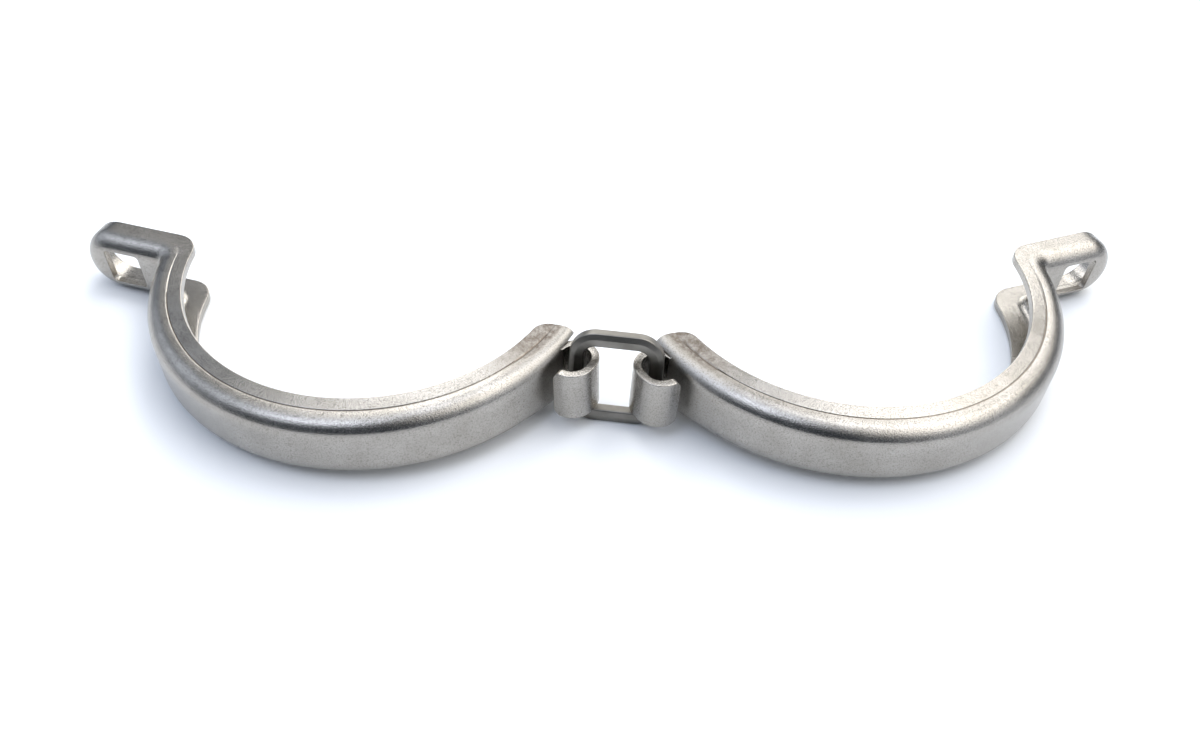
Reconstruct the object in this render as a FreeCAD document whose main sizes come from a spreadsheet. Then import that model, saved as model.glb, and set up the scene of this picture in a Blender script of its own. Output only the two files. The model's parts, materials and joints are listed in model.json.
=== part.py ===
import FreeCAD, Part
import math
import os
import Sketcher
from FreeCAD import Placement, Rotation, Vector

# V-band clamp, opened out and lying on a table.
# Two identical pressed channel halves hang on one loose hinge link. Each half ends in a rolled
# hook at the link and in a hollow bolt lug with a square hole. One half is turned over to face
# the other. Millimetres, +Z up, X along the link, origin under the middle of the whole clamp.

SIZES = (
    ("web_radius", 46.0, "outside radius of the channel's web"),
    ("gauge", 1.6, "thickness of the pressed sheet"),
    ("flange_depth", 7.3, "distance of the lips' cut edges in from the web"),
    ("leg_depth", 4.5, "distance of the crease in from the web"),
    ("shoulder_height", 7.4, "height of the web's corner before it is rounded"),
    ("crease_drop", 0.7, "depth of the crease below the shoulder"),
    ("lip_rise", 0.4, "height of the lips' cut edges above the crease"),
    ("corner_round", 2.2, "outside radius between web and leg"),
    ("crease_round", 0.8, "outside radius along the crease"),
    ("half_span", 164.5, "angle from the lug's middle line to the hook's axis"),
    ("mating_gap", 3.9, "distance of the lug's open edge from the ring's middle"),
    ("lug_corner", 5.6, "plan radius of the flanges' corner beside the lug"),
    ("hook_corner", 4.0, "plan radius of the flanges' corner beside the hook"),
    ("flange_past", 5.2, "length of flange past the start of the roll"),
    ("lug_depth", 6.7, "depth of the lug from its open edge to the bolt's seat"),
    ("lug_length", 19.0, "distance that the lug stands out past the web"),
    ("lug_roll", 2.9, "outside radius between the seat and the lug's walls"),
    ("web_bend", 1.5, "inside radius where the web turns out into the seat"),
    ("bend_overlap", 0.3, "height by which that bend runs up into the lug's roll"),
    ("hole_side", 8.2, "side of the square bolt hole"),
    ("hole_round", 0.9, "corner radius of the square bolt hole"),
    ("hole_past_web", 8.7, "distance of the hole's middle out past the web"),
    ("strip_height", 11.4, "height of the strip that is rolled into the hook"),
    ("hook_play", 0.15, "gap in the roll past the leaning bar's farthest corner"),
    ("hook_turn", 265.0, "angle that the roll turns through"),
    ("hook_run", 1.2, "straight run of the roll between its two rounds"),
    ("hook_tail", 1.7, "straight end of the roll"),
    ("slit", 0.2, "gap between the rolled strip and the flanges beside it"),
    ("hook_end_round", 1.8, "radius of the free end's two corners"),
    ("hook_spacing", 6.2, "gap between the two hooks when they hang straight"),
    ("link_play", 3.2, "height of the link's window above that of the hooks"),
    ("link_bar", 2.8, "width of the link's bar, seen from the front"),
    ("link_depth", 2.4, "thickness of the link from front to back"),
    ("link_window_round", 2.4, "corner radius of the link's window"),
    ("link_edge_round", 0.5, "radius along the link's edges"),
    ("link_lean", 10.0, "angle that the loose link leans back"),
    ("link_clearance", 0.35, "gap between the hooks and the link's lower bar"),
    ("left_open", 74.0, "angle of the left half from closed, as it lies"),
    ("right_open", 56.0, "angle of the right half from closed, as it lies"),
)

doc = FreeCAD.newDocument("v_band_clamp")
sizes = doc.addObject("Spreadsheet::Sheet", "sizes")
for number, (alias, value, meaning) in enumerate(SIZES, start=1):
    sizes.set("A%d" % number, str(value))
    sizes.setAlias("A%d" % number, alias)
    sizes.set("B%d" % number, meaning)
doc.recompute()


def size(alias):
    return float(sizes.get(alias))


def worked_out(formula):
    return float(sizes.evalExpression(formula))


# Plane geometry

def polar(radius, degrees, centre=Vector()):
    angle = math.radians(degrees)
    return centre + Vector(radius * math.cos(angle), radius * math.sin(angle), 0)


def bearing(point, centre=Vector()):
    return math.degrees(math.atan2(point.y - centre.y, point.x - centre.x))


def segment(start, end):
    return Part.LineSegment(start, end)


def arc(centre, radius, first, last):
    circle = Part.Circle(centre, Vector(0, 0, 1), radius)
    return Part.ArcOfCircle(circle, math.radians(first), math.radians(last))


def crossing(first, second):
    (p, q), (r, w) = first, second
    d, e = q - p, w - r
    share = ((r.x - p.x) * e.y - (r.y - p.y) * e.x) / (d.x * e.y - d.y * e.x)
    return p + d * share


def moved_left(points, distance):
    # The open line through the points, moved to its left by the distance.
    lines = []
    for start, end in zip(points, points[1:]):
        along = (end - start).normalize()
        side = Vector(-along.y, along.x, 0) * distance
        lines.append((start + side, end + side))
    corners = [crossing(a, b) for a, b in zip(lines, lines[1:])]
    return [lines[0][0]] + corners + [lines[-1][1]]


def rounded(corners):
    # The closed outline through (point, radius) pairs, as lines and tangent arcs.
    count = len(corners)
    pieces, ends = [], []
    for index, (corner, radius) in enumerate(corners):
        back = (corners[index - 1][0] - corner).normalize()
        ahead = (corners[(index + 1) % count][0] - corner).normalize()
        if radius <= 0:
            ends.append((corner, corner, None))
            continue
        half = back.getAngle(ahead) / 2
        reach = radius / math.tan(half)
        centre = corner + (back + ahead).normalize() * (radius / math.sin(half))
        begin, end = corner + back * reach, corner + ahead * reach
        first = bearing(begin, centre)
        turn = (bearing(end, centre) - first + 180) % 360 - 180
        bend = arc(centre, radius, min(first, first + turn), max(first, first + turn))
        ends.append((begin, end, bend))
    for index, (begin, end, bend) in enumerate(ends):
        if bend is not None:
            pieces.append(bend)
        pieces.append(segment(end, ends[(index + 1) % count][0]))
    return pieces


def upright(degrees, slide=0.0):
    # A standing plane through the ring's axis, with X outwards and Y up, slid along the ring.
    turn = Rotation(Vector(0, 0, 1), degrees).multiply(Rotation(Vector(1, 0, 0), 90))
    return Placement(turn.multVec(Vector(0, 0, -slide)), turn)


# Document objects

def add(kind, name, **values):
    item = doc.addObject(kind, name)
    for key, value in values.items():
        setattr(item, key, value)
    return item


def tie(item, **cells):
    # Binds properties of an object to cells: each value is an alias or a formula of aliases.
    for key, formula in cells.items():
        item.setExpression(key, formula)
    return item


def add_sketch(name, pieces, placement=Placement(), radii=None):
    # A closed sketch whose pieces meet end to end. radii names the cell of a piece's radius.
    sketch = add("Sketcher::SketchObject", name, Placement=placement)
    sketch.addGeometry(pieces, False)
    count = len(pieces)
    for index in range(count):
        after = (index + 1) % count
        here = (pieces[index].StartPoint, pieces[index].EndPoint)
        there = (pieces[after].StartPoint, pieces[after].EndPoint)
        pairs = [(a, b) for a in (0, 1) for b in (0, 1)]
        near = min(pairs, key=lambda pair: here[pair[0]].distanceToPoint(there[pair[1]]))
        sketch.addConstraint(Sketcher.Constraint("Coincident", index, near[0] + 1, after, near[1] + 1))
    for index, formula in (radii or {}).items():
        constraint = Sketcher.Constraint("Radius", index, pieces[index].Radius)
        place = sketch.addConstraint(constraint)
        sketch.setExpression("Constraints[%d]" % place, formula)
    return sketch


def add_prism(name, sketch, length, both_ways=False, reverse=False):
    prism = add("Part::Extrusion", name, Base=sketch, DirMode="Normal", Solid=True)
    prism.Symmetric = both_ways
    prism.Reversed = reverse
    return tie(prism, LengthFwd=length)


def add_rounding(name, base, radius, chosen):
    # Rounds the edges of the base that the test chooses.
    doc.recompute()
    numbers = [n for n, edge in enumerate(base.Shape.Edges, start=1) if chosen(edge)]
    return add("Part::Fillet", name, Base=base, Edges=[(n, radius, radius) for n in numbers])


# Shared sizes of a half, in its own plane: ring's middle at the origin, lug along X, the band
# running anticlockwise from the lug to the hook

LIP_FORMULA = "(sizes.shoulder_height - sizes.crease_drop + sizes.lip_rise)"
BAR_FORMULA = "sqrt(sizes.link_bar ^ 2 + sizes.link_depth ^ 2) / 2"
BORE_FORMULA = ("(" + BAR_FORMULA
                + " + sizes.strip_height / 2 * tan(sizes.link_lean) + sizes.hook_play)")

GAUGE = size("gauge")
LIP_RADIUS = size("web_radius") - size("flange_depth")
CREASE_RADIUS = size("web_radius") - size("leg_depth")
CREASE_HEIGHT = size("shoulder_height") - size("crease_drop")
LIP_HEIGHT = worked_out(LIP_FORMULA)
LUG_REACH = size("web_radius") + size("lug_length")
HOLE_REACH = size("web_radius") + size("hole_past_web")
HOOK_BORE = worked_out(BORE_FORMULA)
HOOK_RADIUS = HOOK_BORE + GAUGE
HOOK_DISTANCE = size("web_radius") + HOOK_BORE
HOOK_AXIS = polar(HOOK_DISTANCE, size("half_span"))
BAR_SPACING = 2 * HOOK_RADIUS + size("hook_spacing")
LINK_WIDTH = BAR_SPACING + size("link_bar")
LINK_HEIGHT = size("strip_height") + size("link_play") + 2 * size("link_bar")
SEAT = size("mating_gap") + size("lug_depth")
FLANGE_END = size("half_span") + math.degrees(size("flange_past") / size("web_radius"))
FREE = 8.0       # how far a cutting tool runs past what it cuts
CLOSE = 0.01     # how near an edge lies to the place where it is looked for


def channel_line():
    # The outside of the upper half of the channel's section, from mid-web to the lip.
    return [Vector(size("web_radius"), 0, 0),
            Vector(size("web_radius"), size("shoulder_height"), 0),
            Vector(CREASE_RADIUS, CREASE_HEIGHT, 0),
            Vector(LIP_RADIUS, LIP_HEIGHT, 0)]


def mirrored_section(points, radii):
    # The closed section from its upper half, mirrored in the middle plane.
    upper = list(zip(points[1:], radii))
    lower = [(Vector(point.x, -point.y, 0), radius) for point, radius in reversed(upper)]
    return rounded(upper + lower)


def add_band(name):
    # The channel bent round the ring: a solid blank less the hollow inside the sheet.
    outside = channel_line()
    inside = moved_left(outside, GAUGE)
    tip = inside[-1] + (inside[-1] - inside[-2]).normalize() * FREE
    blank_sketch = add_sketch(name + "_blank_section", mirrored_section(
        outside, (size("corner_round"), size("crease_round"), 0)), upright(0))
    hollow_sketch = add_sketch(name + "_hollow_section", mirrored_section(
        inside[:-1] + [tip], (size("corner_round") - GAUGE, size("crease_round") + GAUGE, 0)),
        upright(-FREE))
    blank = add("Part::Revolution", name + "_blank", Source=blank_sketch, Axis=Vector(0, 0, 1),
                Angle=FLANGE_END, Solid=True)
    hollow = add("Part::Revolution", name + "_hollow", Source=hollow_sketch, Axis=Vector(0, 0, 1),
                 Angle=FLANGE_END + 2 * FREE, Solid=True)
    return blank, hollow


def lug_outline(half_height, end, start):
    # The lug seen along the bolt: straight top and bottom and a round end.
    centre = Vector(end - half_height, 0, 0)
    top = Vector(0, half_height, 0)
    return [segment(Vector(start, 0, 0) - top, centre - top),
            arc(centre, half_height, -90, 90),
            segment(centre + top, Vector(start, 0, 0) + top),
            segment(Vector(start, 0, 0) + top, Vector(start, 0, 0) - top)]


def add_lug(name):
    # The lug's rolled block, its hollow, and the bend where the web turns out into the seat.
    block_sketch = add_sketch(name + "_lug_outline", lug_outline(
        LIP_HEIGHT, LUG_REACH, CREASE_RADIUS + GAUGE / 2),
        upright(0, size("mating_gap")), {1: LIP_FORMULA})
    block = add_prism(name + "_lug_block", block_sketch, "sizes.lug_depth", reverse=True)
    block = add_rounding(name + "_lug_rolled", block, size("lug_roll"), lambda edge: (
        edge.CenterOfMass.y > SEAT - CLOSE and edge.BoundBox.XMax > size("web_radius") + GAUGE))
    hollow_sketch = add_sketch(name + "_lug_hollow_outline", lug_outline(
        LIP_HEIGHT - GAUGE, LUG_REACH - GAUGE, LIP_RADIUS - FREE),
        upright(0, size("mating_gap") - FREE), {1: LIP_FORMULA + " - sizes.gauge"})
    hollow = add_prism(name + "_lug_hollow_block", hollow_sketch,
                       "sizes.lug_depth - sizes.gauge + %g" % FREE, reverse=True)
    hollow = add_rounding(name + "_lug_hollow", hollow, size("lug_roll") - GAUGE, lambda edge: (
        edge.CenterOfMass.y > SEAT - GAUGE - CLOSE and edge.BoundBox.XMax > size("web_radius")))
    return block, hollow


def bend_wedge(ring_radius, seat, radius):
    # The plan between the ring, the seat's line and the round that blends them.
    centre_y = seat + radius
    centre = Vector(math.sqrt((ring_radius + radius) ** 2 - centre_y ** 2), centre_y, 0)
    corner = Vector(math.sqrt(ring_radius ** 2 - seat ** 2), seat, 0)
    touch = bearing(centre)
    return [arc(Vector(), ring_radius, bearing(corner), touch),
            arc(centre, radius, touch + 180, 270),
            segment(Vector(centre.x, seat, 0), corner)]


def add_bend(name):
    outer_sketch = add_sketch(name + "_bend_fill_plan", bend_wedge(
        size("web_radius"), SEAT, size("web_bend")), radii={1: "sizes.web_bend"})
    inner_sketch = add_sketch(name + "_bend_cut_plan", bend_wedge(
        size("web_radius") - GAUGE, SEAT - GAUGE, size("web_bend") + GAUGE),
        radii={1: "sizes.web_bend + sizes.gauge"})
    fill = add_prism(name + "_bend_fill", outer_sketch,
                     "2 * (" + LIP_FORMULA + " - sizes.lug_roll + sizes.bend_overlap)",
                     both_ways=True)
    cut = add_prism(name + "_bend_cut", inner_sketch,
                    "2 * (" + LIP_FORMULA + " - sizes.gauge)", both_ways=True)
    return fill, cut


def trim_plan():
    # The plan outline of the flanges: open edge of the lug, lips, and both rounded corners.
    gap, lip = size("mating_gap"), LIP_RADIUS
    far = LUG_REACH + FREE
    r = size("lug_corner")
    near = Vector(math.sqrt((lip + r) ** 2 - (gap + r) ** 2), gap + r, 0)
    q = size("hook_corner")
    last = polar(lip + q, FLANGE_END - math.degrees(math.asin(q / (lip + q))))
    end_foot = polar(math.sqrt((lip + q) ** 2 - q ** 2), FLANGE_END)
    return [segment(Vector(math.sqrt(far ** 2 - gap ** 2), gap, 0), Vector(near.x, gap, 0)),
            arc(near, r, bearing(near) + 180, 270),
            arc(Vector(), lip, bearing(near), bearing(last)),
            arc(last, q, FLANGE_END + 90, bearing(last) + 180),
            segment(end_foot, polar(far, FLANGE_END)),
            arc(Vector(), far, math.degrees(math.asin(gap / far)), FLANGE_END)]


def add_hook(name):
    # The bare strip that leaves the web, makes a half round out and back over the link's bar,
    # runs straight, makes a quarter round in towards the web and ends in a tail.
    ring, bore, axis = size("web_radius"), HOOK_BORE, HOOK_AXIS
    outer, start = HOOK_RADIUS, size("half_span")
    root = start - math.degrees(GAUGE / ring)
    stop = start + 180 - size("hook_turn")
    second = axis + polar(size("hook_run"), start - 90)
    tail = polar(size("hook_tail"), stop - 90)
    inner_end, outer_end = polar(bore, stop, second), polar(outer, stop, second)
    pieces = [arc(Vector(), ring, root, start),
              arc(axis, bore, start, start + 180),
              segment(polar(bore, start, axis), polar(bore, start, second)),
              arc(second, bore, stop, start),
              segment(inner_end, inner_end + tail),
              segment(inner_end + tail, outer_end + tail),
              segment(outer_end + tail, outer_end),
              arc(second, outer, stop, start),
              segment(polar(outer, start, second), polar(outer, start, axis)),
              arc(axis, outer, start, start + 180),
              arc(Vector(), ring - GAUGE, root, start),
              segment(polar(ring - GAUGE, root), polar(ring, root))]
    inner_size, outer_size = BORE_FORMULA, BORE_FORMULA + " + sizes.gauge"
    plan = add_sketch(name + "_hook_plan", pieces, radii={
        0: "sizes.web_radius", 1: inner_size, 3: inner_size, 7: outer_size, 9: outer_size})
    strip = add_prism(name + "_hook_strip", plan, "sizes.strip_height", both_ways=True)
    middle = (inner_end + outer_end) / 2 + tail
    return add_rounding(name + "_hook", strip, size("hook_end_round"), lambda edge: (
        abs(edge.Length - GAUGE) < CLOSE
        and Vector(edge.CenterOfMass.x, edge.CenterOfMass.y, 0).distanceToPoint(middle) < CLOSE))


def add_slot(name):
    # The gap that the rolled strip leaves between the ends of the two flanges.
    inner = size("web_radius") - GAUGE - size("slit")
    far, start, end = size("web_radius") + GAUGE, size("half_span"), FLANGE_END + FREE
    pieces = [arc(Vector(), inner, start, end),
              segment(polar(inner, end), polar(far, end)),
              arc(Vector(), far, start, end),
              segment(polar(far, start), polar(inner, start))]
    plan = add_sketch(name + "_slot_plan", pieces)
    return add_prism(name + "_slot", plan, "sizes.strip_height + 2 * sizes.slit", both_ways=True)


def add_bolt_hole(name):
    # A square punch through the seat, with a sheet's thickness to spare on both sides.
    half, middle = size("hole_side") / 2, HOLE_REACH
    corners = [Vector(middle + x * half, z * half, 0) for x, z in ((-1, -1), (1, -1), (1, 1), (-1, 1))]
    outline = add_sketch(name + "_hole_outline", rounded([(c, size("hole_round")) for c in corners]),
                         upright(0, SEAT + GAUGE), {0: "sizes.hole_round"})
    return add_prism(name + "_hole", outline, "3 * sizes.gauge")


def add_half(name):
    # One pressed half in its own plane.
    blank, hollow = add_band(name)
    block, lug_hollow = add_lug(name)
    fill, bend_cut = add_bend(name)
    outside = add("Part::MultiFuse", name + "_outside", Shapes=[blank, block, fill])
    inside = add("Part::MultiFuse", name + "_inside", Shapes=[
        hollow, lug_hollow, bend_cut, add_slot(name), add_bolt_hole(name)])
    shell = add("Part::Cut", name + "_shell", Base=outside, Tool=inside)
    trim = add_prism(name + "_trim", add_sketch(name + "_trim_plan", trim_plan()),
                     "2 * sizes.shoulder_height + %g" % FREE, both_ways=True)
    pressed = add("Part::MultiCommon", name + "_pressed", Shapes=[shell, trim])
    return add("Part::MultiFuse", name, Shapes=[pressed, add_hook(name)], Refine=True)


def add_link(name):
    # The closed loop of flat bar that both hooks hang on, standing in the XZ plane.
    body = doc.addObject("PartDesign::Body", name)
    plane = [f for f in body.Origin.OriginFeatures if f.Role == "XZ_Plane"][0]
    outline = body.newObject("Sketcher::SketchObject", name + "_outline")
    outline.AttachmentSupport = [(plane, "")]
    outline.MapMode = "FlatFace"
    window = size("link_window_round")
    bar = size("link_bar")
    for inset, radius in ((0, window + bar), (bar, window)):
        x, z = LINK_WIDTH / 2 - inset, LINK_HEIGHT / 2 - inset
        corners = [Vector(i * x, j * z, 0) for i, j in ((-1, -1), (1, -1), (1, 1), (-1, 1))]
        loop = rounded([(corner, radius) for corner in corners])
        first = outline.GeometryCount
        outline.addGeometry(loop, False)
        tied = "sizes.link_window_round" + (" + sizes.link_bar" if inset == 0 else "")
        place = outline.addConstraint(Sketcher.Constraint("Radius", first, radius))
        outline.setExpression("Constraints[%d]" % place, tied)
    pad = body.newObject("PartDesign::Pad", name + "_bar")
    pad.Profile = outline
    pad.Midplane = True
    pad.setExpression("Length", "sizes.link_depth")
    doc.recompute()
    face = size("link_depth") / 2 - CLOSE
    edges = ["Edge%d" % n for n, edge in enumerate(pad.Shape.Edges, start=1)
             if abs(edge.CenterOfMass.y) > face]
    rounding = body.newObject("PartDesign::Fillet", name + "_edges")
    rounding.Base = (pad, edges)
    rounding.setExpression("Radius", "sizes.link_edge_round")
    body.Tip = rounding
    return body


# Where the pieces lie

link = add_link("hinge_link")
halves = [add_half("left_clamp_half"), add_half("right_clamp_half")]

lean = math.radians(size("link_lean"))
underside = -(size("strip_height") / 2 + size("link_clearance"))
window_foot = (underside - size("link_depth") / 2 * math.sin(lean)) / math.cos(lean)
link_rise = window_foot + LINK_HEIGHT / 2 - size("link_bar")
link.Placement = Placement(
    Vector(0, link_rise * math.sin(lean), link_rise * math.cos(lean)),
    Rotation(Vector(1, 0, 0), -size("link_lean")))
doc.recompute()

# The link stands lower than the flanges, so each half slopes from its hook down to its lug.
table = link.Shape.optimalBoundingBox(False, False).ZMin
hinge_angle = math.degrees(math.asin(BAR_SPACING / 2 / HOOK_DISTANCE))
closed_turn = 270 - hinge_angle - size("half_span")
feet = [Vector(LUG_REACH - LIP_HEIGHT, y, 0) - HOOK_AXIS
        for y in (size("mating_gap"), SEAT - size("lug_roll"))]
to_hook = Placement(-HOOK_AXIS, Rotation())
for half, side, opened in zip(halves, (-1, 1), (size("left_open"), size("right_open"))):
    closed = Placement(Vector(), Rotation(Vector(0, 0, 1), closed_turn))
    flip = Placement(Vector(), Rotation(Vector(0, 1, 0), 90 + side * 90))
    swing = Placement(Vector(), Rotation(Vector(0, 0, 1), -side * opened))
    level = swing.multiply(flip).multiply(closed)
    arm = max(abs(level.multVec(foot).x) for foot in feet)
    drop = math.asin((-table - LIP_HEIGHT) / arm)
    tilt = Placement(Vector(), Rotation(Vector(0, 1, 0), side * math.degrees(drop)))
    hinge = Placement(Vector(side * BAR_SPACING / 2, 0, 0), Rotation())
    half.Placement = hinge.multiply(tilt).multiply(level).multiply(to_hook)
doc.recompute()

nodes = [link] + halves
reach = FreeCAD.BoundBox()
for node in nodes:
    reach.add(node.Shape.optimalBoundingBox(False, False))
middle = Vector(-reach.Center.x, -reach.Center.y, -reach.ZMin)
for node in nodes:
    node.Placement = Placement(middle, Rotation()).multiply(node.Placement)
doc.recompute()

for item in doc.Objects:
    if "Invalid" in item.State or "Error" in item.State:
        raise RuntimeError("%s failed: %s" % (item.Label, item.State))
os.makedirs("parts", exist_ok=True)
for node in nodes:
    shape = node.Shape
    if shape.isNull() or not shape.isValid() or len(shape.Solids) != 1:
        raise RuntimeError("%s has no valid solid" % node.Label)
    shape.exportStep("parts/%s.step" % node.Label)
    print("%s: %.1f mm3, %d faces" % (node.Label, shape.Volume, len(shape.Faces)))
print("size %.2f x %.2f x %.2f mm" % (reach.XLength, reach.YLength, reach.ZLength))
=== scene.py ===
import json
import math
import bmesh
import bpy
from mathutils import Matrix, Vector

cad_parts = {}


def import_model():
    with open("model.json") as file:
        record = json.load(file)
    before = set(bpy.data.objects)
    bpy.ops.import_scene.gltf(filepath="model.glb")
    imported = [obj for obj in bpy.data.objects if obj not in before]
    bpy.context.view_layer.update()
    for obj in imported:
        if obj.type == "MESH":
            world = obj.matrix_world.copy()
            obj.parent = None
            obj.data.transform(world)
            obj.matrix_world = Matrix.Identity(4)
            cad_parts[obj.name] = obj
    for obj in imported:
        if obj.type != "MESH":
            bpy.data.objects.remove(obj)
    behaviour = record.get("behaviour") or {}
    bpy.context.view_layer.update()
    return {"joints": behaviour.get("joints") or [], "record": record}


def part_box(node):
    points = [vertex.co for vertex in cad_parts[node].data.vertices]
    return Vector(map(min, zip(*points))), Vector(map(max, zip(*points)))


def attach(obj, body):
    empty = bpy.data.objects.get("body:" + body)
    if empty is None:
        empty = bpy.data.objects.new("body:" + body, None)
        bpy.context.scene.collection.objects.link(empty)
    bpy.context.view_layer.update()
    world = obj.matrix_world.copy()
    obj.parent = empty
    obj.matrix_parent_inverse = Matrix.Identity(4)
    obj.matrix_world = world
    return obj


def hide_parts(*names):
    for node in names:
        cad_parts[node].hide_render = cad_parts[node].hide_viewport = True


# V-band clamp, opened out on a white table: two pressed stainless halves on one loose link.
# Each piece is shaped in millimetres in its own plane, as in the CAD, and is then set down where
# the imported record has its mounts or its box.

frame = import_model()

MM = 0.001

# Channel section, in millimetres
WEB_RADIUS = 46.0
GAUGE = 1.6
FLANGE_DEPTH = 7.3
LEG_DEPTH = 4.5
SHOULDER_HEIGHT = 7.4
CREASE_DROP = 0.7
LIP_RISE = 0.4
CORNER_ROUND = 3.5      # between web and leg on the band
HOOK_ROUND = 2.2        # the same beside the hook
CORNER_SPAN = 16.0      # degrees of the ring from the one to the other
CREASE_SIDE = 0.42      # width of the coined crease's fall and of its rise
CREASE_SINK = 0.2       # depth of the coined crease below the leg
CREASE_ROOM = 0.45      # most of the leg or lip that the fall or rise takes
CREASE_RUNOUT = 3.0     # flange depth at which the crease would run out over the cut edge
LIP_HEIGHT = SHOULDER_HEIGHT - CREASE_DROP + LIP_RISE
LIP_RADIUS = WEB_RADIUS - FLANGE_DEPTH

# Plan of a half, with the ring's middle at the origin and the lug along +X
HALF_SPAN = 164.5
MATING_GAP = 3.9
LUG_CORNER = 5.6
HOOK_CORNER = 4.0
FLANGE_PAST = 5.2
FLANGE_END = HALF_SPAN + math.degrees(FLANGE_PAST / WEB_RADIUS)
LUG_DEPTH = 6.7
LUG_LENGTH = 19.0
LUG_ROLL = 3.8
WEB_BEND = 1.5
SEAT = MATING_GAP + LUG_DEPTH
LUG_ROUND = WEB_RADIUS + LUG_LENGTH - LIP_HEIGHT      # middle of the lug's round end
FADE_FROM = 40.0        # ring angle where the crease starts to fade towards the lug
BEND_SHARE = 0.75       # share of the lug's plain wall that the band has at its bend

# Where the tool scuffed the sheet next to the hook; the galled part is also painted darker as painted
# shade
RUBBED_SPAN = 24.0      # degrees of the ring
GALLED_AND_SHADED_FROM = 2.0       # distance in from the web where the galling starts
GALLED_AND_SHADED_FULL = 3.5       # and where it is full

# Hook, hole and link
LINK_BAR = 2.8
LINK_DEPTH = 2.4
LINK_PLAY = 3.2
LINK_WINDOW_ROUND = 2.4
LINK_EDGE_ROUND = 0.4
LINK_SLOPE = 1.15       # how far the front's outer slope reaches in over the bar
LINK_SLOPE_DEPTH = 0.4
LINK_SLOPE_ROUND = 0.5  # between the slope and the front
LINK_CREST_ROUND = 0.3  # between the slope and the outside
LINK_LEAN = 10.0
STRIP_HEIGHT = 11.4
SLIT = 0.2
HOOK_BORE = 2.999       # as in the CAD, just past the farthest corner of the leaning bar
HOOK_TURN = 265.0
HOOK_RUN = 1.2
HOOK_TAIL = 1.7
HOOK_END_ROUND = 1.8
HOLE_SIDE = 8.2
HOLE_ROUND = 0.9
HOLE_PAST_WEB = 8.7
HOOK_SPACING = 6.2
PUNCH_SHOULDER = (0.26, 0.02)       # how far the hole's punch flares out, past the sheet's face
PUNCH_END = (0.3, 3.0)              # and at its end

# Fineness of the meshes
RING_STEP = 1.3         # degrees between stations of the band
WEB_ROWS = 4
LEG_ROWS = 3
LIP_ROWS = 4
CORNER_ROWS = 7         # of the corner between web and leg, past the slit
TAB_STEPS = 3
TAB_CORNER_STEPS = 10   # for the round corner of each tab
BEND_STEPS = 18
SEAT_STEPS = 5
ROUND_STEPS = 24
ROLL_STEPS = 38         # for the hook's half round
HOOK_END_STEPS = 8
HOLE_STEPS = 6          # for each corner of the bolt hole
FLARE_TURNS = (0, 25, 50, 75)       # degrees round the punch's flare
LINK_STEPS = 14         # for each corner of the link
LINK_EDGE_STEPS = 5
EDGE_BREAK = 0.18       # bevel on every cut edge of the sheet
EDGE_BREAK_STEPS = 3
EDGE_BREAK_FROM = 50.0  # degrees by which a bevelled edge is at least bent
CUT_SLACK = 0.0005      # a vert this close to a cut counts as on it
EDGE_SLACK = 0.001      # the same for the end of the strip
SEAM_SLACK = 0.0001     # and for the last section of the lug
LUG_WELD = 0.002        # verts this close are one where the lug's end meets the sheet
RING_WELD = 0.001       # and where a line carried round a path closes

# Camera, from the fit of the clamp's outlines to the photograph
CAMERA_FROM_HINGES = (10.77, -144.42, 147.69)       # from the middle between both hinges
CAMERA_YAW = 5.46       # degrees to the left of +Y
CAMERA_PITCH = 44.92    # degrees below the horizon
CAMERA_ROLL = 2.37
CAMERA_LENS = 32.10


def mix(a, b, share):
    return a + (b - a) * share


def smooth(share):
    share = min(max(share, 0.0), 1.0)
    return share * share * (3 - 2 * share)


def polar(radius, degrees):
    angle = math.radians(degrees)
    return Vector((radius * math.cos(angle), radius * math.sin(angle), 0))


# Surfaces of the pressed half

CORNER_TURN = math.pi / 2 + math.atan(CREASE_DROP / LEG_DEPTH)
CORNER_START = SHOULDER_HEIGHT - HOOK_ROUND * math.tan(CORNER_TURN / 2)


def corner_share(height):
    # The share of the corner's turn at which the web beside the hook reaches this height.
    return math.asin((height - CORNER_START) / HOOK_ROUND) / CORNER_TURN


STRIP_SHARE = corner_share(STRIP_HEIGHT / 2)
SLIT_SHARE = corner_share(STRIP_HEIGHT / 2 + SLIT)
# Places across the groove, from -1 to 1, and their shares of its depth
CREASE_FORM = ((-0.75, 0.12), (-0.3, 0.88), (-0.05, 1.0), (0.2, 0.8), (0.7, 0.08))
CORNER_SHARES = [0, STRIP_SHARE / 2, STRIP_SHARE, SLIT_SHARE] + [
    mix(SLIT_SHARE, 1, step / CORNER_ROWS) for step in range(1, CORNER_ROWS + 1)]


def between(start, end, count):
    # The points that split the way into this many steps, from after the start to the end.
    return [tuple(mix(a, b, step / count) for a, b in zip(start, end)) for step in range(1, count + 1)]


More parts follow.
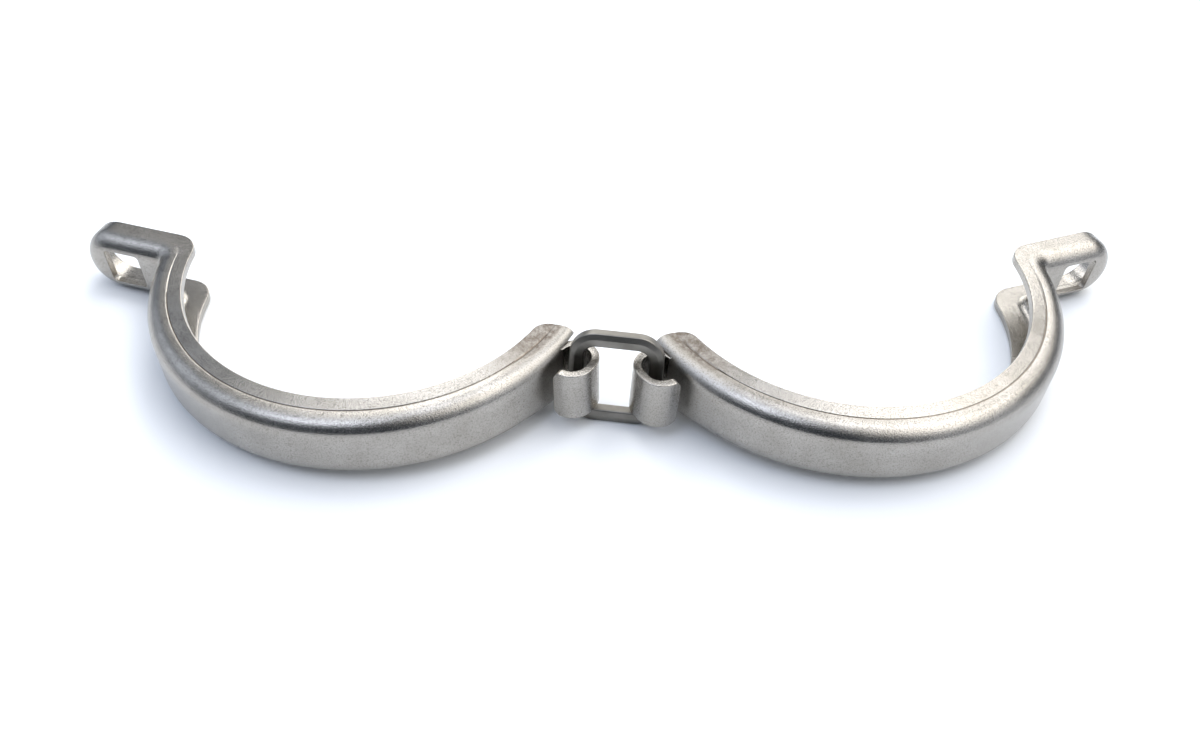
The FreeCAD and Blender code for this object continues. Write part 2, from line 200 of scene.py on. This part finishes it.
def section(depth, corner, lug):
    # (distance in from the web, height, share of the coined groove) along the upper half of the
    # sheet's outside. The lug's share runs from 0 on the band, with its crease and this corner
    # radius, to 1 on the plain wall of the lug.
    shoulder = mix(SHOULDER_HEIGHT, LIP_HEIGHT, lug)
    leg_slope = CREASE_DROP / LEG_DEPTH * (1 - lug)
    lip_slope = LIP_RISE / (FLANGE_DEPTH - LEG_DEPTH) * (1 - lug)
    turn = math.pi / 2 + math.atan(leg_slope)
    radius = mix(corner, LUG_ROLL, lug)
    start = shoulder - radius * math.tan(turn / 2)
    line = [(0, start * row / WEB_ROWS, 0) for row in range(WEB_ROWS)]
    for share in CORNER_SHARES:
        angle = turn * share
        line.append((radius * (1 - math.cos(angle)), start + radius * math.sin(angle), 0))
    place = (depth - CREASE_RUNOUT) / (FLANGE_DEPTH - CREASE_RUNOUT)
    crease = mix(CREASE_RUNOUT, LEG_DEPTH, place)
    reach = min(CREASE_SIDE, CREASE_ROOM * (crease - line[-1][0]), CREASE_ROOM * (depth - crease))
    low = shoulder - leg_slope * crease
    before = (crease - reach, low + leg_slope * reach, 0)
    after = (crease + reach, low + lip_slope * reach, 0)
    end = (depth, low + lip_slope * (depth - crease), 0)
    line += between(line[-1], before, LEG_ROWS)
    for share, drop in CREASE_FORM:
        base = before[1] if share < 0 else after[1]
        line.append((crease + share * reach, mix(low, base, abs(share)), drop * (1 - lug)))
    line += [after] + between(after, end, LIP_ROWS)
    return line


def stations():
    # (foot on the web, direction in, flange depth, corner radius, share of the lug) from the
    # flanges' ends at the hook, round the band and its bend, to the middle of the lug's end.
    found = []
    for step in range(TAB_STEPS):
        angle = mix(FLANGE_END, HALF_SPAN, step / TAB_STEPS)
        found.append((polar(WEB_RADIUS, angle), -polar(1, angle), FLANGE_DEPTH, HOOK_ROUND, 0.0))
    bend_height = SEAT + WEB_BEND
    bend_reach = math.sqrt((WEB_RADIUS + WEB_BEND) ** 2 - bend_height ** 2)
    bend_middle = Vector((bend_reach, bend_height, 0))
    touch = math.degrees(math.atan2(bend_middle.y, bend_middle.x))
    count = round((HALF_SPAN - touch) / RING_STEP)
    for step in range(count + 1):
        angle = mix(HALF_SPAN, touch, step / count)
        lug = BEND_SHARE * smooth((FADE_FROM - angle) / (FADE_FROM - touch))
        corner = mix(HOOK_ROUND, CORNER_ROUND, smooth((HALF_SPAN - angle) / CORNER_SPAN))
        found.append((polar(WEB_RADIUS, angle), -polar(1, angle), FLANGE_DEPTH, corner, lug))
    near = Vector((math.sqrt((LIP_RADIUS + LUG_CORNER) ** 2 - (MATING_GAP + LUG_CORNER) ** 2),
                   MATING_GAP + LUG_CORNER, 0))
    for step in range(1, BEND_STEPS + 1):
        angle = mix(touch + 180, 270, step / BEND_STEPS)
        inward = polar(1, angle)
        depth = reach_of_corner(bend_middle, inward, near) - WEB_BEND
        found.append((bend_middle + inward * WEB_BEND, inward, depth, CORNER_ROUND,
                      mix(BEND_SHARE, 1, step / BEND_STEPS)))
    for step in range(1, SEAT_STEPS + 1):
        x = mix(bend_middle.x, LUG_ROUND, step / SEAT_STEPS)
        found.append((Vector((x, SEAT, 0)), Vector((0, -1, 0)), LUG_DEPTH, CORNER_ROUND, 1.0))
    return found


def reach_of_corner(start, direction, near):
    # How far from the start this direction meets the flanges' cut edge beside the lug: first
    # the lips' circle, then the round of the corner, then the lug's straight open edge.
    along = (near - start).dot(direction)
    aside = (near - start - direction * along).length
    on_round = along + math.sqrt(LUG_CORNER ** 2 - aside ** 2)
    met = start + direction * on_round
    if met.x > near.x:
        return (start.y - MATING_GAP) / -direction.y
    if math.atan2(met.y, met.x) > math.atan2(near.y, near.x):
        back = -start.dot(direction)
        return back - math.sqrt(LIP_RADIUS ** 2 - start.length_squared + back ** 2)
    return on_round


def pressed_blank(bm):
    # A flat blank with a row for each point of the section, pressed to the channel's form. Its
    # verts keep how deep they are coined later on, which also sets the crease's painted shade, how
    # much the tool scuffs them, and how much galling and painted shade darken them.
    rows = stations()
    columns = len(section(FLANGE_DEPTH, CORNER_ROUND, 0.0)) * 2 - 1
    across = columns // 2
    bmesh.ops.create_grid(bm, x_segments=len(rows) - 1, y_segments=columns - 1, size=0.5,
                          matrix=Matrix.Diagonal((len(rows) - 1, columns - 1, 1, 1)))
    sections = [section(depth, corner, lug) for _, _, depth, corner, lug in rows]
    coin, rubbed, galled_and_shaded = [bm.verts.layers.float.new(name) for name in ("coin", "rubbed", "galled_and_shaded")]
    for vert in bm.verts:
        station = round(vert.co.x + (len(rows) - 1) / 2)
        row = round(vert.co.y + (columns - 1) / 2) - across
        foot, inward = rows[station][:2]
        depth, height, groove = sections[station][abs(row)]
        vert.co = foot + inward * depth + Vector((0, 0, math.copysign(height, row)))
        vert[coin] = groove * smooth(station / TAB_STEPS) * CREASE_SINK
        vert[rubbed] = smooth((ring_angle(foot) - HALF_SPAN) / RUBBED_SPAN + 1)
        vert[galled_and_shaded] = vert[rubbed] * smooth((depth - GALLED_AND_SHADED_FROM) / (GALLED_AND_SHADED_FULL - GALLED_AND_SHADED_FROM))


def ring_angle(point):
    return math.degrees(math.atan2(point.y, point.x))


def cut_slot(bm):
    # Past the start of the roll only the two flange tabs are left of the blank.
    gone = [face for face in bm.faces if abs(face.calc_center_median().z) < STRIP_HEIGHT / 2 + SLIT
            and ring_angle(face.calc_center_median()) > HALF_SPAN]
    bmesh.ops.delete(bm, geom=gone, context="FACES")


def round_tabs(bm):
    # Cuts the tabs' inner corners round, by tangents from the lip to the end. Each cut takes in
    # the flanges from a little before the corner on, but not the web. Their parts are kept in
    # order, because a set's order changes from run to run, and the verts' order with it.
    middle_radius = LIP_RADIUS + HOOK_CORNER
    middle_angle = FLANGE_END - math.degrees(math.asin(HOOK_CORNER / middle_radius))
    middle = polar(middle_radius, middle_angle)
    first_angle, last_radius = middle_angle - 4.0, WEB_RADIUS - 1.0
    for step in range(1, TAB_CORNER_STEPS):
        outward = polar(1, middle_angle + 180 - 90 * step / TAB_CORNER_STEPS)
        tab = [f for f in bm.faces if ring_angle(f.calc_center_median()) > first_angle
               and (f.calc_center_median() - middle).dot(outward) > 0
               and f.calc_center_median().xy.length < last_radius]
        parts = dict.fromkeys(part for f in tab for part in (*f.verts, *f.edges))
        bmesh.ops.bisect_plane(bm, geom=tab + list(parts), dist=CUT_SLACK, plane_no=outward,
                               plane_co=middle + outward * HOOK_CORNER, clear_outer=True)


def on_open_edge(bm, angle, height):
    # The verts of the web's end at this ring angle, up to this height, from bottom to top.
    found = [v for v in bm.verts if abs(ring_angle(v.co) - angle) < 0.01
             and v.co.xy.length > WEB_RADIUS - 0.5 and abs(v.co.z) < height + EDGE_SLACK]
    return sorted(found, key=lambda v: v.co.z)


def drawn_out(bm, edges, way):
    # Draws the edges out by a straight step and returns the new ones.
    made = bmesh.ops.extrude_edge_only(bm, edges=edges)["geom"]
    ends = {v for v in made if isinstance(v, bmesh.types.BMVert)}
    bmesh.ops.translate(bm, verts=list(ends), vec=way)
    return [e for e in made if isinstance(e, bmesh.types.BMEdge) and ends.issuperset(e.verts)]


def rolled_on(bm, edges, centre, degrees):
    # Rolls the edges on round the centre and returns the last ones.
    steps = max(round(ROLL_STEPS * degrees / 180), 1)
    rolled = bmesh.ops.spin(bm, geom=edges, cent=centre, axis=(0, 0, 1), steps=steps,
                            angle=math.radians(-degrees))
    return [e for e in rolled["geom_last"] if isinstance(e, bmesh.types.BMEdge)]


def roll_hook(bm):
    # The bare strip leaves the web, makes a half round out and back over the link's bar, runs
    # straight, makes a quarter round in towards the web and ends in a tail.
    axis = polar(WEB_RADIUS + HOOK_BORE, HALF_SPAN)
    run = polar(HOOK_RUN, HALF_SPAN - 90)
    tail = polar(HOOK_TAIL, HALF_SPAN + 90 - HOOK_TURN)
    web = on_open_edge(bm, HALF_SPAN, STRIP_HEIGHT / 2)
    step = 180 / ROLL_STEPS
    lead = Matrix.Rotation(math.radians(-step), 3, "Z")
    start = polar(WEB_RADIUS, HALF_SPAN) - axis
    first = [bm.verts.new(axis + lead @ start + Vector((0, 0, z)))
             for z in (-STRIP_HEIGHT / 2, STRIP_HEIGHT / 2)]
    bm.faces.new(web + first[::-1])
    edges = rolled_on(bm, [bm.edges.get(first)], axis, 180 - step)
    edges = drawn_out(bm, edges, run)
    edges = rolled_on(bm, edges, axis + run, HOOK_TURN - 180)
    edges = drawn_out(bm, edges, tail)
    bmesh.ops.bevel(bm, geom=list(edges[0].verts), offset=HOOK_END_ROUND, affect="VERTICES",
                    segments=HOOK_END_STEPS, profile=0.5, material=-1)


def close_lug(bm):
    # The lug's round end: the upper half of the last section, spun over to the lower half.
    chain = [e for e in bm.edges if all(abs(v.co.x - LUG_ROUND) < SEAM_SLACK
                                        and v.co.z > -SEAM_SLACK and v.co.y > 0 for v in e.verts)]
    bmesh.ops.spin(bm, geom=chain, cent=(LUG_ROUND, 0, 0), axis=(0, 1, 0), steps=ROUND_STEPS,
                   angle=math.pi)
    bmesh.ops.remove_doubles(bm, verts=bm.verts, dist=LUG_WELD)


def face_outwards(bm):
    # Makes every normal point to the sheet's outside, as the web's does away from the ring.
    bmesh.ops.recalc_face_normals(bm, faces=bm.faces)
    bm.faces.ensure_lookup_table()
    probe = min(bm.faces, key=lambda f: (f.calc_center_median() - polar(WEB_RADIUS, 90)).length)
    if probe.normal.dot(polar(1, 90)) < 0:
        bmesh.ops.reverse_faces(bm, faces=bm.faces)


def rounded_path(half_width, half_height, corner, steps):
    # (point, outward direction) round a rectangle with round corners, seen from the front.
    path = []
    for quarter, (i, j) in enumerate(((1, 1), (-1, 1), (-1, -1), (1, -1))):
        middle = Vector((i * (half_width - corner), 0, j * (half_height - corner)))
        for step in range(steps + 1):
            angle = math.pi / 2 * (quarter + step / steps)
            outward = Vector((math.cos(angle), 0, math.sin(angle)))
            path.append((middle + outward * corner, outward))
    return path


def carried_round(path, line, closed):
    # Carries a line of (distance out, depth) points round the path.
    bm = bmesh.new()
    across = len(line) if closed else len(line) - 1
    bmesh.ops.create_grid(bm, x_segments=len(path), y_segments=across, size=0.5,
                          matrix=Matrix.Diagonal((len(path), across, 1, 1)))
    for vert in bm.verts:
        point, outward = path[round(vert.co.x + len(path) / 2) % len(path)]
        out, depth = line[round(vert.co.y + across / 2) % len(line)]
        vert.co = point + outward * out + Vector((0, depth, 0))
    bmesh.ops.remove_doubles(bm, verts=bm.verts, dist=RING_WELD)
    return bm


def hole_punch():
    # The square punch of the bolt hole. It flares at both faces of the sheet, which rounds off
    # the hole's edges.
    turns = [math.radians(turn) for turn in FLARE_TURNS]
    line = [(EDGE_BREAK * (1 - math.cos(turn)), EDGE_BREAK * (math.sin(turn) - 1)) for turn in turns]
    line += [PUNCH_SHOULDER, PUNCH_END]
    line = [(out, -GAUGE - depth) for out, depth in reversed(line)] + line
    path = rounded_path(HOLE_SIDE / 2, HOLE_SIDE / 2, HOLE_ROUND, HOLE_STEPS)
    bm = carried_round(path, line, False)
    bmesh.ops.holes_fill(bm, edges=bm.edges, sides=0)
    bmesh.ops.recalc_face_normals(bm, faces=bm.faces)
    bmesh.ops.translate(bm, verts=bm.verts, vec=(WEB_RADIUS + HOLE_PAST_WEB, SEAT, 0))
    return as_object("hole_punch", bm)


def as_object(name, bm):
    mesh = bpy.data.meshes.new(name)
    bm.to_mesh(mesh)
    bm.free()
    made = bpy.data.objects.new(name, mesh)
    bpy.context.scene.collection.objects.link(made)
    return made


def add_modifier(piece, kind, **settings):
    modifier = piece.modifiers.new(kind.lower(), kind)
    for key, value in settings.items():
        setattr(modifier, key, value)
    return modifier


def apply_modifiers(piece):
    # Replaces the piece's mesh by its finished form.
    graph = bpy.context.evaluated_depsgraph_get()
    done = bpy.data.meshes.new_from_object(piece.evaluated_get(graph))
    piece.modifiers.clear()
    old = piece.data
    piece.data = done
    bpy.data.meshes.remove(old)


def coin_crease(piece, count):
    # Coins the crease's groove into the sheet's outside only. Its verts come first.
    depths = piece.data.attributes["coin"].data
    for vert in piece.data.vertices[:count]:
        vert.co.z -= math.copysign(depths[vert.index].value, vert.co.z)


def clamp_half(name):
    bm = bmesh.new()
    pressed_blank(bm)
    cut_slot(bm)
    round_tabs(bm)
    roll_hook(bm)
    close_lug(bm)
    face_outwards(bm)
    half = as_object(name, bm)
    count = len(half.data.vertices)
    add_modifier(half, "SOLIDIFY", thickness=GAUGE, offset=-1, use_even_offset=True,
                 material_offset_rim=1)
    apply_modifiers(half)
    coin_crease(half, count)
    punch = hole_punch()
    add_modifier(half, "BEVEL", width=EDGE_BREAK, segments=EDGE_BREAK_STEPS, profile=0.5,
                 limit_method="ANGLE", angle_limit=math.radians(EDGE_BREAK_FROM),
                 use_clamp_overlap=False)
    add_modifier(half, "BOOLEAN", operation="DIFFERENCE", object=punch, solver="EXACT")
    apply_modifiers(half)
    bpy.data.objects.remove(punch)
    return half


def softened(corners, steps):
    # The closed plane outline through (x, y, radius) corners, each rounded in steps.
    outline = []
    for index, (x, y, radius) in enumerate(corners):
        corner = Vector((x, y))
        back = (Vector(corners[index - 1][:2]) - corner).normalized()
        ahead = (Vector(corners[(index + 1) % len(corners)][:2]) - corner).normalized()
        half = back.angle(ahead) / 2
        reach = min(radius / math.tan(half), LINK_DEPTH / 2)
        start, end = corner + back * reach, corner + ahead * reach
        centre = corner + (back + ahead).normalized() * reach / math.cos(half)
        turn = (start - centre).angle_signed(end - centre)
        outline += [centre + Matrix.Rotation(-turn * step / steps, 2) @ (start - centre)
                    for step in range(steps + 1)]
    return outline


def hinge_link(name):
    # The bar's section carried round the window. Its front outer edge is sloped and rounded off,
    # the others are only broken.
    near, far, edge = -LINK_DEPTH / 2, LINK_DEPTH / 2, LINK_EDGE_ROUND
    section_line = softened((
        (0, near, edge), (LINK_BAR - LINK_SLOPE, near, LINK_SLOPE_ROUND),
        (LINK_BAR, near + LINK_SLOPE_DEPTH, LINK_CREST_ROUND), (LINK_BAR, far, edge),
        (0, far, edge)), LINK_EDGE_STEPS)
    path = rounded_path(HOOK_BORE + GAUGE + (HOOK_SPACING - LINK_BAR) / 2,
                        (STRIP_HEIGHT + LINK_PLAY) / 2, LINK_WINDOW_ROUND, LINK_STEPS)
    bm = carried_round(path, section_line, True)
    bmesh.ops.recalc_face_normals(bm, faces=bm.faces)
    return as_object(name, bm)


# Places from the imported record

mounts = {mount["name"]: mount for mount in frame["record"]["mounts"]}
hinges = {joint["name"]: joint for joint in frame["joints"]}


def half_matrix(side):
    # The ring's middle and axis from the grip, and the lug's direction from the bolt's seat.
    # The right half is the same pressing turned over.
    grip, seat = mounts[side + "_grip"], mounts[side + "_bolt_seat"]
    y_axis = Vector(seat["axis"]).normalized()
    z_axis = Vector(grip["axis"]) * (1 if side == "left" else -1)
    x_axis = y_axis.cross(z_axis).normalized()
    z_axis = x_axis.cross(y_axis)
    turn = Matrix((x_axis, y_axis, z_axis)).transposed().to_4x4()
    return Matrix.Translation(grip["pos_m"]) @ turn @ Matrix.Scale(MM, 4)


def link_matrix():
    # The link leans back between both hinge axes, its foot on the table.
    low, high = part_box("hinge_link")
    turn = Matrix.Rotation(math.radians(-LINK_LEAN), 4, "X")
    return Matrix.Translation((low + high) / 2) @ turn @ Matrix.Scale(MM, 4)


def set_down(piece, matrix, cad_node, body, materials):
    # Puts the piece in its place in the frame, in metres, and on its body.
    piece.data.transform(matrix)
    for polygon in piece.data.polygons:
        polygon.use_smooth = True
    piece.data.materials.clear()
    for material in materials:
        piece.data.materials.append(material)
    add_modifier(piece, "WEIGHTED_NORMAL", keep_sharp=True)
    apply_modifiers(piece)
    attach(piece, body)
    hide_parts(cad_node)


# Materials

# Width of the marks on the metal, in millimetres
SHEET_CLOUDS = 7.0
SHEET_GRAIN = 0.3
SHEET_GALLING = 1.1
EDGE_GRAIN = 0.5
LINK_CLOUDS = 4.0
LINK_GRAIN = 0.4


def linear(code):
    # An sRGB hex colour as linear RGBA.
    parts = [int(code[i:i + 2], 16) / 255 for i in (1, 3, 5)]
    return tuple(p / 12.92 if p <= 0.04045 else ((p + 0.055) / 1.055) ** 2.4 for p in parts) + (1.0,)


def node(tree, kind, inputs=None, stops=None, **settings):
    # Adds a node with its settings. An input is a value, or a socket that it is linked to. Stops
    # are the positions and hex colours of a ramp.
    made = tree.nodes.new(kind)
    for key, value in settings.items():
        setattr(made, key, value)
    for key, value in (inputs or {}).items():
        if isinstance(value, bpy.types.NodeSocket):
            tree.links.new(value, made.inputs[key])
        else:
            made.inputs[key].default_value = value
    if stops:
        for element, (position, code) in zip(made.color_ramp.elements, stops):
            element.position = position
            element.color = linear(code)
    return made


def new_material(name):
    material = bpy.data.materials.new(name)
    material.use_nodes = True
    material.node_tree.nodes.clear()
    return material, material.node_tree


def pressed_stainless():
    # Stainless sheet with a mill finish, tumbled after pressing: satin, slightly warm, in soft
    # clouds, with painted brown shade in the crease's groove, and brown, rough galling from the tool
    # next to the hook, painted darker there also as painted shade of the bent flange. The tumbling's
    # pits are too fine to show, so they are drawn coarser.
    material, tree = new_material("pressed_stainless")
    place = node(tree, "ShaderNodeTexCoord").outputs["Object"]
    clouds = node(tree, "ShaderNodeTexNoise", {
        "Vector": place, "Scale": 1 / (SHEET_CLOUDS * MM), "Detail": 4.0,
        "Roughness": 0.6}).outputs["Fac"]
    grain = node(tree, "ShaderNodeTexNoise", {
        "Vector": place, "Scale": 1 / (SHEET_GRAIN * MM), "Detail": 3.0,
        "Roughness": 0.7}).outputs["Fac"]
    galling = node(tree, "ShaderNodeTexNoise", {
        "Vector": place, "Scale": 1 / (SHEET_GALLING * MM), "Detail": 5.0,
        "Roughness": 0.65}).outputs["Fac"]
    coined, rubbed, galled_and_shaded = [node(tree, "ShaderNodeAttribute", attribute_name=name).outputs["Fac"]
                              for name in ("coin", "rubbed", "galled_and_shaded")]
    colour = node(tree, "ShaderNodeValToRGB", {"Fac": clouds}, [(0.3, "#9d9992"), (0.7, "#aeaaa4")])
    pits = node(tree, "ShaderNodeValToRGB", {"Fac": grain}, [(0.35, "#8f8880"), (0.5, "#ffffff")])
    pitted = node(tree, "ShaderNodeMix", {
        "Factor": 0.5, "A": colour.outputs["Color"], "B": pits.outputs["Color"]},
        data_type="RGBA", blend_type="MULTIPLY")
    # The coined crease's groove is painted darker brown: painted shade in the crease.
    crease_shade_paint = node(tree, "ShaderNodeMapRange", {
        "Value": coined, "From Min": CREASE_SINK / 2, "From Max": CREASE_SINK, "To Max": 0.75})
    crease_shaded = node(tree, "ShaderNodeMix", {
        "Factor": crease_shade_paint.outputs["Result"], "A": pitted.outputs["Result"], "B": linear("#6b5640")},
        data_type="RGBA")
    # Galling marks next to the hook, painted darker than they are as painted shade of the bent flange.
    patches = node(tree, "ShaderNodeMapRange", {
        "Value": galling, "From Min": 0.38, "From Max": 0.62, "To Min": 1.0, "To Max": 0.35})
    galling_and_shade = node(tree, "ShaderNodeMath", {0: galled_and_shaded, 1: patches.outputs["Result"]}, operation="MULTIPLY")
    galled_and_shade_painted = node(tree, "ShaderNodeMix", {
        "Factor": galling_and_shade.outputs["Value"], "A": crease_shaded.outputs["Result"], "B": linear("#665d54")},
        data_type="RGBA")
    satin = node(tree, "ShaderNodeMapRange", {
        "Value": clouds, "From Min": 0.3, "From Max": 0.7, "To Min": 0.18, "To Max": 0.28})
    rough = node(tree, "ShaderNodeMath", {0: rubbed, 1: 0.2, 2: satin.outputs["Result"]},
                 operation="MULTIPLY_ADD")
    gouges = node(tree, "ShaderNodeBump", {"Height": galling, "Strength": galled_and_shaded, "Distance": 0.2 * MM})
    bump = node(tree, "ShaderNodeBump", {
        "Height": grain, "Strength": 0.9, "Distance": 0.06 * MM, "Normal": gouges.outputs["Normal"]})
    shader = node(tree, "ShaderNodeBsdfPrincipled", {
        "Base Color": galled_and_shade_painted.outputs["Result"], "Metallic": 1.0,
        "Roughness": rough.outputs["Value"], "Normal": bump.outputs["Normal"]})
    node(tree, "ShaderNodeOutputMaterial", {"Surface": shader.outputs["BSDF"]})
    return material


def sheared_edge():
    # The sheet's cut edge: burnished by the shear, a little brighter than the faces.
    material, tree = new_material("sheared_edge")
    place = node(tree, "ShaderNodeTexCoord").outputs["Object"]
    grain = node(tree, "ShaderNodeTexNoise", {
        "Vector": place, "Scale": 1 / (EDGE_GRAIN * MM), "Detail": 3.0}).outputs["Fac"]
    colour = node(tree, "ShaderNodeValToRGB", {"Fac": grain}, [(0.35, "#9c958c"), (0.65, "#cfc9c0")])
    bump = node(tree, "ShaderNodeBump", {"Height": grain, "Strength": 0.3, "Distance": 0.06 * MM})
    shader = node(tree, "ShaderNodeBsdfPrincipled", {
        "Base Color": colour.outputs["Color"], "Metallic": 1.0, "Roughness": 0.32,
        "Normal": bump.outputs["Normal"]})
    node(tree, "ShaderNodeOutputMaterial", {"Surface": shader.outputs["BSDF"]})
    return material


def link_stainless():
    # Stainless bar, blanked to a closed link: matte and darker than the sheet, in soft clouds. Its
    # pits too are drawn coarser than they are.
    material, tree = new_material("link_stainless")
    place = node(tree, "ShaderNodeTexCoord").outputs["Object"]
    clouds = node(tree, "ShaderNodeTexNoise", {
        "Vector": place, "Scale": 1 / (LINK_CLOUDS * MM), "Detail": 4.0}).outputs["Fac"]
    grain = node(tree, "ShaderNodeTexNoise", {
        "Vector": place, "Scale": 1 / (LINK_GRAIN * MM), "Detail": 3.0}).outputs["Fac"]
    colour = node(tree, "ShaderNodeValToRGB", {"Fac": clouds}, [(0.35, "#716e68"), (0.65, "#84817b")])
    bump = node(tree, "ShaderNodeBump", {"Height": grain, "Strength": 0.3, "Distance": 0.05 * MM})
    shader = node(tree, "ShaderNodeBsdfPrincipled", {
        "Base Color": colour.outputs["Color"], "Metallic": 1.0, "Roughness": 0.38,
        "Normal": bump.outputs["Normal"]})
    node(tree, "ShaderNodeOutputMaterial", {"Surface": shader.outputs["BSDF"]})
    return material


# Stage, lights and camera

FLOOR_SIZE = 4.0


def floor():
    bm = bmesh.new()
    bmesh.ops.create_grid(bm, x_segments=1, y_segments=1, size=FLOOR_SIZE / 2)
    made = as_object("table", bm)
    material, tree = new_material("white_table")
    shader = node(tree, "ShaderNodeBsdfPrincipled", {"Base Color": linear("#eef0f2"), "Roughness": 0.6})
    node(tree, "ShaderNodeOutputMaterial", {"Surface": shader.outputs["BSDF"]})
    made.data.materials.append(material)


# The room, as the metal mirrors it: azimuth from +Y to the right and elevation in degrees,
# tightness, strength and colour of each soft source, over a little even bluish light
AMBIENT = 0.11
AMBIENT_COLOUR = "#cfe0fa"
SOURCES = (
    (54.0, 53.0, 24.0, 4.6, "#fffdfa"),        # skylight, high at the back on the right
    (104.0, 50.0, 20.0, 3.4, "#fffdfa"),       # skylight on the right
    (20.0, 77.0, 30.0, 3.6, "#f0f5ff"),        # ceiling
    (-135.0, 64.0, 40.0, 5.6, "#e4edff"),      # lamp over the viewer's left shoulder
    (-101.0, 48.0, 14.0, 1.0, "#e4eeff"),      # ceiling on the left
    (-72.0, 28.0, 20.0, 1.0, "#e4eeff"),       # doorway on the left
    (114.0, 28.0, 14.0, 0.6, "#f0f5ff"),       # window to the right of the viewer
    (2.0, 9.0, 24.0, 4.4, "#fffefb"),          # pale wall behind the table
    (95.0, 8.0, 8.0, 0.4, "#eef4ff"),          # wall on the right
    (-92.0, 8.0, 14.0, 0.5, "#e4eeff"),        # wall on the left
)

# Soft panels close to the clamp: place from the middle between the hinges, width and height in
# millimetres, and strength
PANELS = (
    ((-76, 141, 142), 86, 145, 4.0),
    ((105, 140, 127), 70, 120, 2.8),
    ((-187, 140, 125), 60, 90, 0.7),
    ((150, 150, 78), 50, 50, 1.0),
    ((-120, 60, 210), 90, 90, 1.6),
)


def panels():
    # Each panel faces the middle between the hinges. Strength is its radiance.
    for place, width, height, strength in PANELS:
        light = bpy.data.lights.new("panel", "AREA")
        light.shape = "RECTANGLE"
        light.size, light.size_y = width * MM, height * MM
        light.energy = math.pi * light.size * light.size_y * strength
        made = bpy.data.objects.new("panel", light)
        away = Vector(place) * MM
        turn = away.to_track_quat("Z", "Y").to_matrix().to_4x4()
        made.matrix_world = Matrix.Translation(between_hinges() + away) @ turn
        made.visible_camera = False
        bpy.context.scene.collection.objects.link(made)


def between_hinges():
    return (Vector(hinges["left_hinge"]["pos_m"]) + Vector(hinges["right_hinge"]["pos_m"])) / 2


def direction(azimuth, elevation):
    turn, rise = math.radians(azimuth), math.radians(elevation)
    return Vector((math.sin(turn) * math.cos(rise), math.cos(turn) * math.cos(rise), math.sin(rise)))


def world():
    # White for the camera; for the metal and the table a pale room with soft windows.
    scene_world = bpy.data.worlds.new("studio")
    bpy.context.scene.world = scene_world
    scene_world.use_nodes = True
    tree = scene_world.node_tree
    tree.nodes.clear()
    way = node(tree, "ShaderNodeTexCoord").outputs["Generated"]
    total = [AMBIENT * c for c in linear(AMBIENT_COLOUR)[:3]]
    for azimuth, elevation, tightness, strength, colour in SOURCES:
        near = node(tree, "ShaderNodeVectorMath", {0: way, 1: direction(azimuth, elevation)},
                    operation="DOT_PRODUCT").outputs["Value"]
        fall = node(tree, "ShaderNodeMath", {0: near, 1: tightness, 2: -tightness},
                    operation="MULTIPLY_ADD").outputs[0]
        share = node(tree, "ShaderNodeMath", {0: fall}, operation="EXPONENT").outputs[0]
        shone = node(tree, "ShaderNodeVectorMath", {
            0: [strength * c for c in linear(colour)[:3]], "Scale": share}, operation="SCALE")
        total = node(tree, "ShaderNodeVectorMath", {0: shone.outputs["Vector"], 1: total},
                     operation="ADD").outputs["Vector"]
    seen = node(tree, "ShaderNodeLightPath").outputs["Is Camera Ray"]
    level = node(tree, "ShaderNodeMix", {"Factor": seen, "A": total, "B": (1, 1, 1)}, data_type="VECTOR")
    background = node(tree, "ShaderNodeBackground", {"Color": level.outputs["Result"], "Strength": 1.0})
    node(tree, "ShaderNodeOutputWorld", {"Surface": background.outputs["Background"]})


def camera():
    lens = bpy.data.cameras.new("photo_view")
    lens.sensor_width = 36.0
    lens.lens = CAMERA_LENS
    made = bpy.data.objects.new("photo_view", lens)
    yaw, pitch, roll = map(math.radians, (CAMERA_YAW, CAMERA_PITCH, CAMERA_ROLL))
    turn = (Matrix.Rotation(yaw, 4, "Z") @ Matrix.Rotation(math.pi / 2 - pitch, 4, "X")
            @ Matrix.Rotation(roll, 4, "Z"))
    place = between_hinges() + Vector(CAMERA_FROM_HINGES) * MM
    made.matrix_world = Matrix.Translation(place) @ turn
    bpy.context.scene.collection.objects.link(made)
    bpy.context.scene.camera = made


def main():
    camera()
    world()
    panels()
    floor()
    sheet, edge = pressed_stainless(), sheared_edge()
    for side in ("left", "right"):
        half = clamp_half(side + "_pressing")
        set_down(half, half_matrix(side), side + "_clamp_half", side + "_half",
                 [sheet, edge])
    set_down(hinge_link("loose_link"), link_matrix(), "hinge_link", "link",
             [link_stainless()])
    bpy.context.scene.view_settings.view_transform = "Standard"


main()
